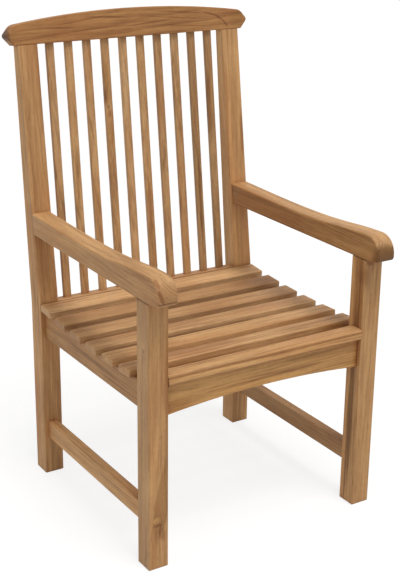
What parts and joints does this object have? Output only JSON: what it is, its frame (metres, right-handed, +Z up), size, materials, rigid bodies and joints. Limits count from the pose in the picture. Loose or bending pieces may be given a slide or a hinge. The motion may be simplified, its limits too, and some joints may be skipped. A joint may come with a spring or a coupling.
{
  "type": "slatted garden armchair",
  "caption": "Upright wooden garden armchair with a high slatted back under an arched crest rail, a dished slatted seat, square legs and armrests with rounded noses.",
  "frame": {"origin": "on the floor, in the middle of the overall width and depth", "axes": "+X to the right of someone who faces the chair from its front, +Y towards the back, +Z up"},
  "size_m": [0.6436, 0.6684, 1.1071],
  "materials": {
    "frame_wood": "untreated, finely sanded",
    "armrest_wood": "untreated, finely sanded",
    "crest_wood": "untreated, finely sanded",
    "seat_wood": "untreated, finely sanded",
    "back_slat_wood": "untreated, finely sanded",
    "pin_wood": "plain, cut flush"
  },
  "bodies": {
    "root": {"front_leg_left": "frame_wood", "front_leg_right": "frame_wood", "rear_leg_left": "frame_wood", "rear_leg_right": "frame_wood", "armrest_left": "armrest_wood", "armrest_right": "armrest_wood", "side_seat_rail_left": "frame_wood", "side_seat_rail_right": "frame_wood", "side_stretcher_left": "frame_wood", "side_stretcher_right": "frame_wood", "crest_rail": "crest_wood", "lower_back_rail": "frame_wood", "front_apron": "frame_wood", "front_seat_slat": "seat_wood", "back_slat_01": "back_slat_wood", "back_slat_02": "back_slat_wood", "back_slat_03": "back_slat_wood", "back_slat_04": "back_slat_wood", "back_slat_05": "back_slat_wood", "back_slat_06": "back_slat_wood", "back_slat_07": "back_slat_wood", "back_slat_08": "back_slat_wood", "back_slat_09": "back_slat_wood", "back_slat_10": "back_slat_wood", "seat_slat_01": "seat_wood", "seat_slat_02": "seat_wood", "seat_slat_03": "seat_wood", "seat_slat_04": "seat_wood", "seat_slat_05": "seat_wood", "seat_slat_06": "seat_wood", "side_rail_pegs": "pin_wood", "apron_pegs": "pin_wood", "back_rail_pegs": "pin_wood", "seat_slat_dowels": "pin_wood", "front_slat_dowels": "pin_wood"}
  },
  "joints": []
}
